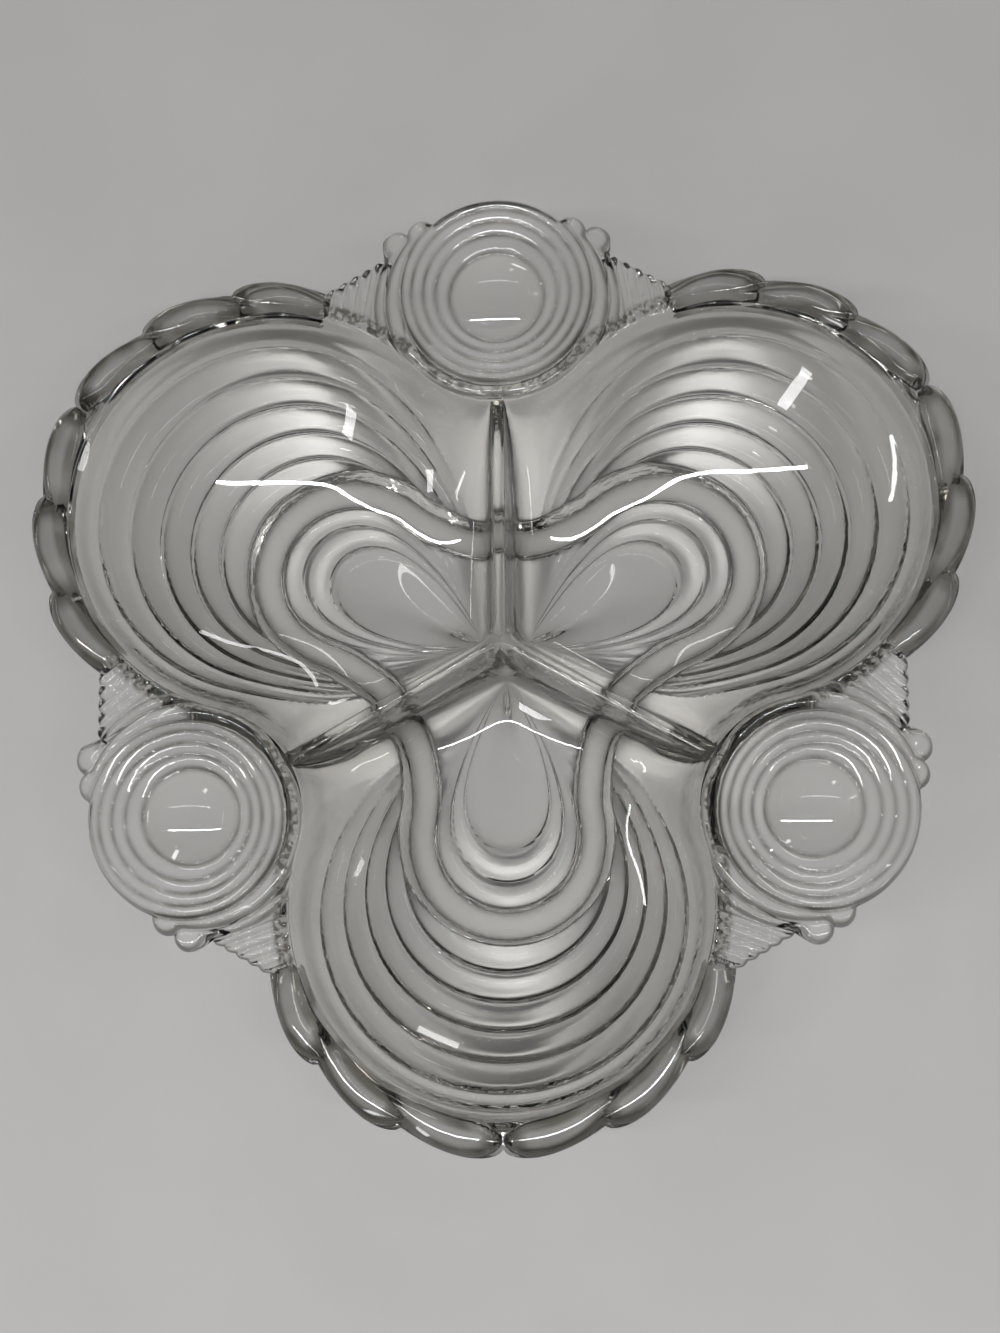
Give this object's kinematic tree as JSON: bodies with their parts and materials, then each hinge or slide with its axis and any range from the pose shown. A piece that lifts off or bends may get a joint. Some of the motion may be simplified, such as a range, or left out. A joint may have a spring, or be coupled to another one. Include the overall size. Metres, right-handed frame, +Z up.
{
  "type": "relish tray",
  "caption": "Clear pressed-glass relish tray with round fluted compartments between upright dividers, a leaf-scalloped rim, round ringed tab handles and a trefoil foot ring",
  "frame": {"origin": "middle of the tray's box at the level of the table it stands on, 6.9 mm from the three-fold axis of the tray toward the front compartment", "axes": "+Z up, out of the compartments; +Y toward the rear handle, away from the front compartment; +X toward the right-hand compartment"},
  "size_m": [0.2494, 0.2533, 0.041],
  "materials": {
    "glass": "polished"
  },
  "bodies": {
    "root": {"compartment_front": "glass", "compartment_left": "glass", "compartment_right": "glass", "rim_front": "glass", "rim_left": "glass", "rim_right": "glass", "divider_rear": "glass", "divider_left": "glass", "divider_right": "glass", "handle_rear": "glass", "handle_left": "glass", "handle_right": "glass", "foot_ring": "glass"}
  },
  "joints": []
}
